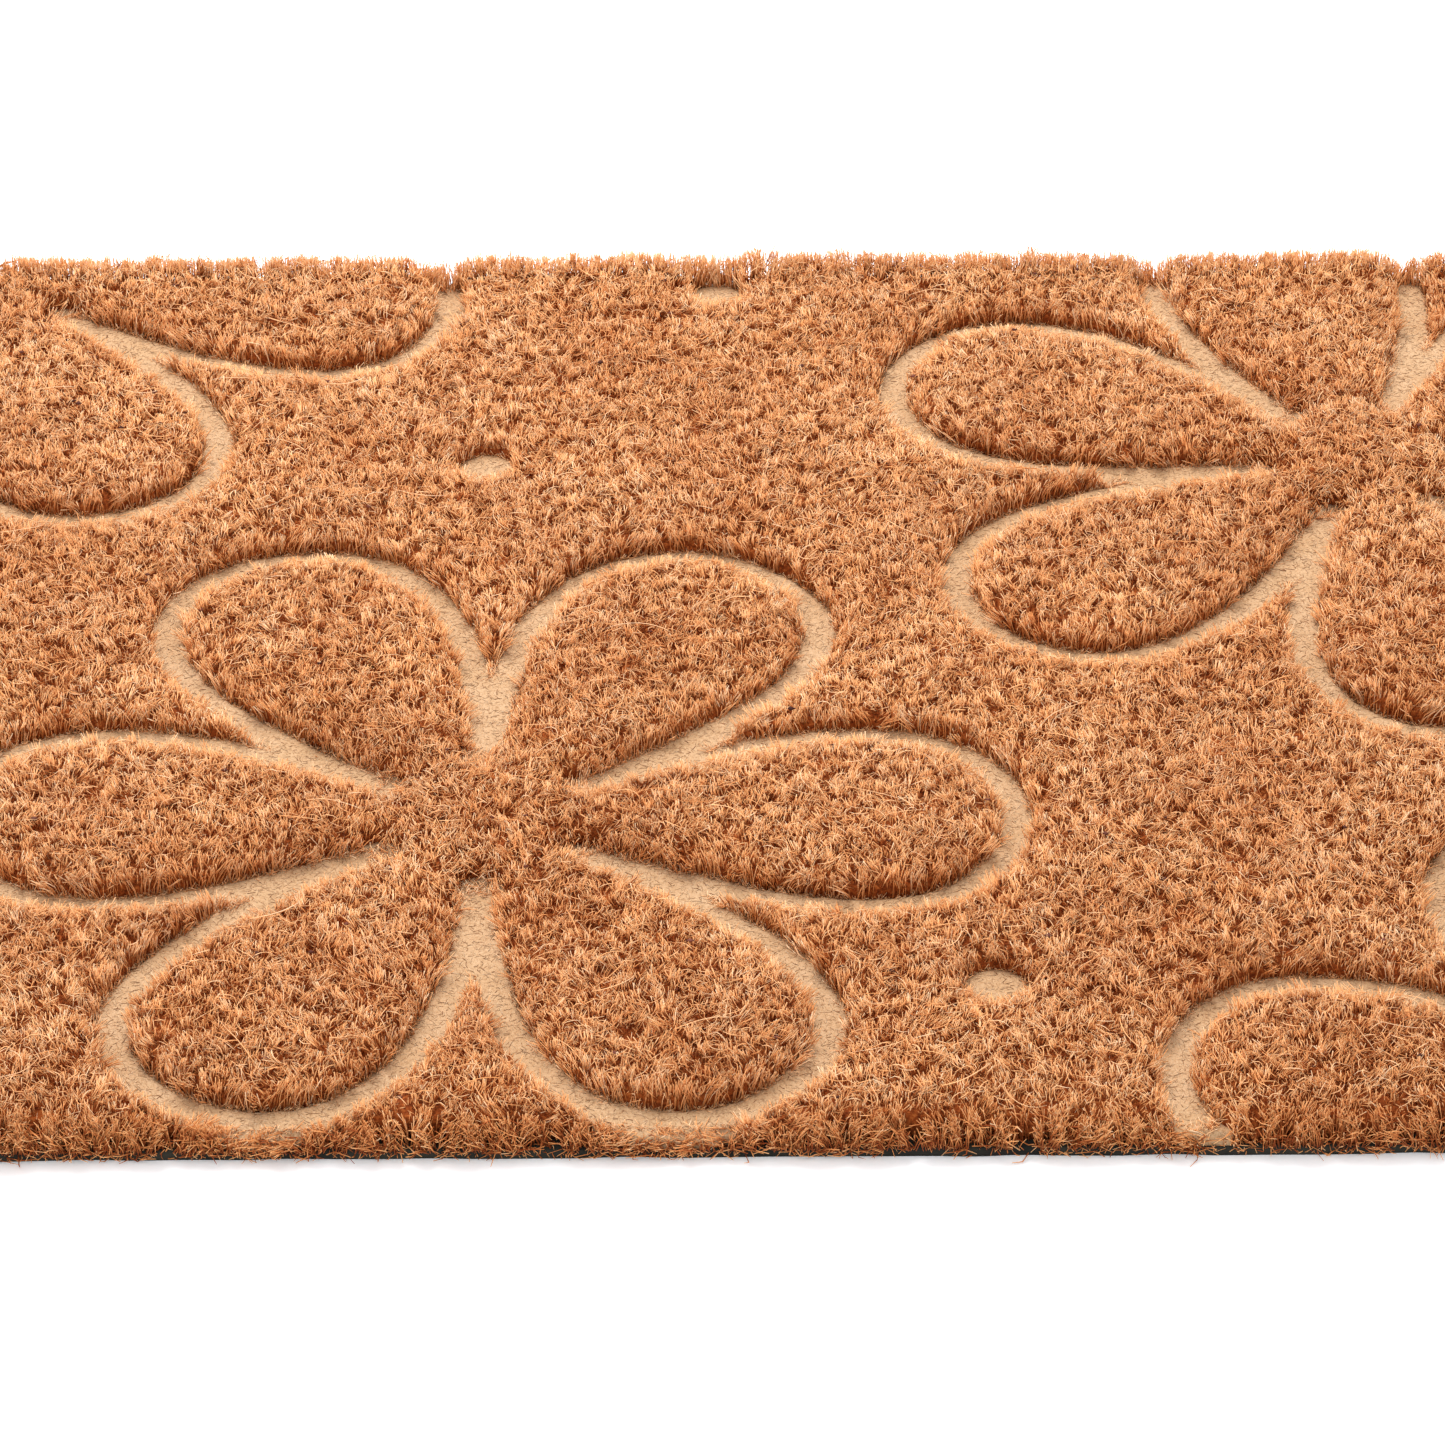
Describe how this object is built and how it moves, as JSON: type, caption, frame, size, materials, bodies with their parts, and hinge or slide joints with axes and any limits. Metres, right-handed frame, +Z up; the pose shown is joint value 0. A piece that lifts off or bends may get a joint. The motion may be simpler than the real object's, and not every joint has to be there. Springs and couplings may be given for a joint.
{
  "type": "door mat",
  "caption": "Rectangular coir door mat on a thin PVC backing, with flower outlines and small dots pressed into its standing pile.",
  "frame": {"origin": "middle of the underside, on the floor", "axes": "+X along the long side, +Y along the short side away from the viewer, +Z up out of the pile"},
  "size_m": [0.75, 0.45, 0.0165],
  "materials": {
    "coir": "golden brown upright coir fibre, matt, with dark gaps between tufts",
    "felted_coir": "paler coir pressed flat and felted by heat, matt",
    "pvc": "dark green-black soft PVC, dull"
  },
  "bodies": {
    "root": {"flower_1_outline": "felted_coir", "flower_1_pile": "coir", "flower_2_outline": "felted_coir", "flower_2_pile": "coir", "flower_3_outline": "felted_coir", "flower_3_pile": "coir", "flower_4_outline_a": "felted_coir", "flower_4_outline_b": "felted_coir", "flower_4_pile_a": "coir", "flower_4_pile_b": "coir", "flower_5_outline_a": "felted_coir", "flower_5_outline_b": "felted_coir", "flower_5_pile": "coir", "pile_field_a": "coir", "pile_field_b": "coir", "pile_field_c": "coir", "pressed_dot_1": "felted_coir", "pressed_dot_2": "felted_coir", "pressed_dot_3": "felted_coir", "pressed_dot_4": "felted_coir", "pressed_dot_5": "felted_coir", "pressed_dot_6": "felted_coir", "pvc_backing": "pvc"}
  },
  "joints": []
}
